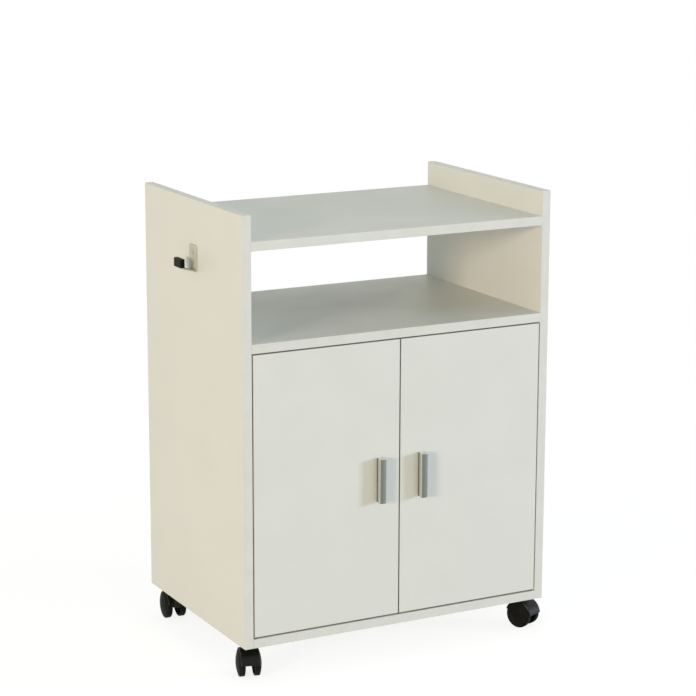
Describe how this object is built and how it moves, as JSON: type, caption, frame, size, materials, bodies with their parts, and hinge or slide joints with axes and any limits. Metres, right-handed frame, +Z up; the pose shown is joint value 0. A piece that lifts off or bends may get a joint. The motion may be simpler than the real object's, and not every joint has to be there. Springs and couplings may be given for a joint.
{
  "type": "microwave cart",
  "caption": "White kitchen cart with an open top between raised side panels, an open niche, a cupboard with double doors, a side hook and twin-wheel casters.",
  "frame": {"origin": "on the floor, midway between the outer faces of the side panels and midway between their front and back edges", "axes": "+Z up, the doors face -Y, +X to the right of someone who faces the doors"},
  "size_m": [0.6285, 0.417, 0.799],
  "materials": {
    "white_melamine": "white melamine-faced particleboard with matching edge banding, satin",
    "white_hardboard": "hardboard, lacquered white on the outside",
    "satin_aluminium": "satin anodised",
    "grey_steel": "grey lacquer, satin",
    "black_cap": "moulded, soft, matte",
    "black_nylon": "moulded nylon, semi-matte",
    "zinc_steel": "bright zinc plate",
    "beech": "bare beech, fluted"
  },
  "bodies": {
    "cart": {"left_side_panel": "white_melamine", "right_side_panel": "white_melamine", "top_board": "white_melamine", "middle_shelf": "white_melamine", "bottom_board": "white_melamine", "back_panel": "white_hardboard", "inner_shelf": "white_melamine", "shelf_pins": "zinc_steel", "cam_locks": "zinc_steel", "cam_bolts": "zinc_steel", "dowels": "beech", "hook_strip": "grey_steel", "hook_cap": "black_cap", "hook_screws": "zinc_steel", "hinge_plate_screws": "zinc_steel", "hinge_arm_screws": "zinc_steel", "caster_inserts": "zinc_steel", "left_lower_hinge_plate": "zinc_steel", "left_lower_hinge_arm": "zinc_steel", "left_upper_hinge_plate": "zinc_steel", "left_upper_hinge_arm": "zinc_steel", "right_lower_hinge_plate": "zinc_steel", "right_lower_hinge_arm": "zinc_steel", "right_upper_hinge_plate": "zinc_steel", "right_upper_hinge_arm": "zinc_steel", "front_left_caster_stem": "zinc_steel", "front_right_caster_stem": "zinc_steel", "back_left_caster_stem": "zinc_steel", "back_right_caster_stem": "zinc_steel"},
    "left_door": {"left_door": "white_melamine", "left_handle": "satin_aluminium", "left_handle_screws": "zinc_steel", "left_lower_hinge_cup": "zinc_steel", "left_upper_hinge_cup": "zinc_steel", "left_hinge_pins": "zinc_steel", "left_cup_screws": "zinc_steel"},
    "right_door": {"right_door": "white_melamine", "right_handle": "satin_aluminium", "right_handle_screws": "zinc_steel", "right_lower_hinge_cup": "zinc_steel", "right_upper_hinge_cup": "zinc_steel", "right_hinge_pins": "zinc_steel", "right_cup_screws": "zinc_steel"},
    "front_left_caster": {"front_left_caster_hood": "black_nylon", "front_left_caster_axle": "zinc_steel"},
    "front_left_left_wheel": {"front_left_caster_left_wheel": "black_nylon"},
    "front_left_right_wheel": {"front_left_caster_right_wheel": "black_nylon"},
    "front_right_caster": {"front_right_caster_hood": "black_nylon", "front_right_caster_axle": "zinc_steel"},
    "front_right_left_wheel": {"front_right_caster_left_wheel": "black_nylon"},
    "front_right_right_wheel": {"front_right_caster_right_wheel": "black_nylon"},
    "back_left_caster": {"back_left_caster_hood": "black_nylon", "back_left_caster_axle": "zinc_steel"},
    "back_left_left_wheel": {"back_left_caster_left_wheel": "black_nylon"},
    "back_left_right_wheel": {"back_left_caster_right_wheel": "black_nylon"},
    "back_right_caster": {"back_right_caster_hood": "black_nylon", "back_right_caster_axle": "zinc_steel"},
    "back_right_left_wheel": {"back_right_caster_left_wheel": "black_nylon"},
    "back_right_right_wheel": {"back_right_caster_right_wheel": "black_nylon"}
  },
  "joints": [
    {"name": "left_door_hinge", "type": "hinge", "parent": "cart", "child": "left_door", "pos_m": [-0.255, -0.192, 0.322], "axis": [0, 0, -1], "range_deg": [0, 95]},
    {"name": "right_door_hinge", "type": "hinge", "parent": "cart", "child": "right_door", "pos_m": [0.255, -0.192, 0.322], "axis": [0, 0, 1], "range_deg": [0, 95]},
    {"name": "front_left_swivel", "type": "hinge", "parent": "cart", "child": "front_left_caster", "pos_m": [-0.268, -0.148, 0.04], "axis": [0, 0, 1], "continuous": true},
    {"name": "front_left_left_wheel_spin", "type": "hinge", "parent": "front_left_caster", "child": "front_left_left_wheel", "pos_m": [-0.27365, -0.16771, 0.0235], "axis": [0.9613, -0.2756, 0], "continuous": true},
    {"name": "front_left_right_wheel_spin", "type": "hinge", "parent": "front_left_caster", "child": "front_left_right_wheel", "pos_m": [-0.27365, -0.16771, 0.0235], "axis": [0.9613, -0.2756, 0], "continuous": true},
    {"name": "front_right_swivel", "type": "hinge", "parent": "cart", "child": "front_right_caster", "pos_m": [0.268, -0.148, 0.04], "axis": [0, 0, 1], "continuous": true},
    {"name": "front_right_left_wheel_spin", "type": "hinge", "parent": "front_right_caster", "child": "front_right_left_wheel", "pos_m": [0.27666, -0.16658, 0.0235], "axis": [0.9063, 0.4226, 0], "continuous": true},
    {"name": "front_right_right_wheel_spin", "type": "hinge", "parent": "front_right_caster", "child": "front_right_right_wheel", "pos_m": [0.27666, -0.16658, 0.0235], "axis": [0.9063, 0.4226, 0], "continuous": true},
    {"name": "back_left_swivel", "type": "hinge", "parent": "cart", "child": "back_left_caster", "pos_m": [-0.268, 0.148, 0.04], "axis": [0, 0, 1], "continuous": true},
    {"name": "back_left_left_wheel_spin", "type": "hinge", "parent": "back_left_caster", "child": "back_left_left_wheel", "pos_m": [-0.26657, 0.16845, 0.0235], "axis": [-0.9976, 0.0698, 0], "continuous": true},
    {"name": "back_left_right_wheel_spin", "type": "hinge", "parent": "back_left_caster", "child": "back_left_right_wheel", "pos_m": [-0.26657, 0.16845, 0.0235], "axis": [-0.9976, 0.0698, 0], "continuous": true},
    {"name": "back_right_swivel", "type": "hinge", "parent": "cart", "child": "back_right_caster", "pos_m": [0.268, 0.148, 0.04], "axis": [0, 0, 1], "continuous": true},
    {"name": "back_right_left_wheel_spin", "type": "hinge", "parent": "back_right_caster", "child": "back_right_left_wheel", "pos_m": [0.27501, 0.16726, 0.0235], "axis": [-0.9397, 0.342, 0], "continuous": true},
    {"name": "back_right_right_wheel_spin", "type": "hinge", "parent": "back_right_caster", "child": "back_right_right_wheel", "pos_m": [0.27501, 0.16726, 0.0235], "axis": [-0.9397, 0.342, 0], "continuous": true}
  ]
}
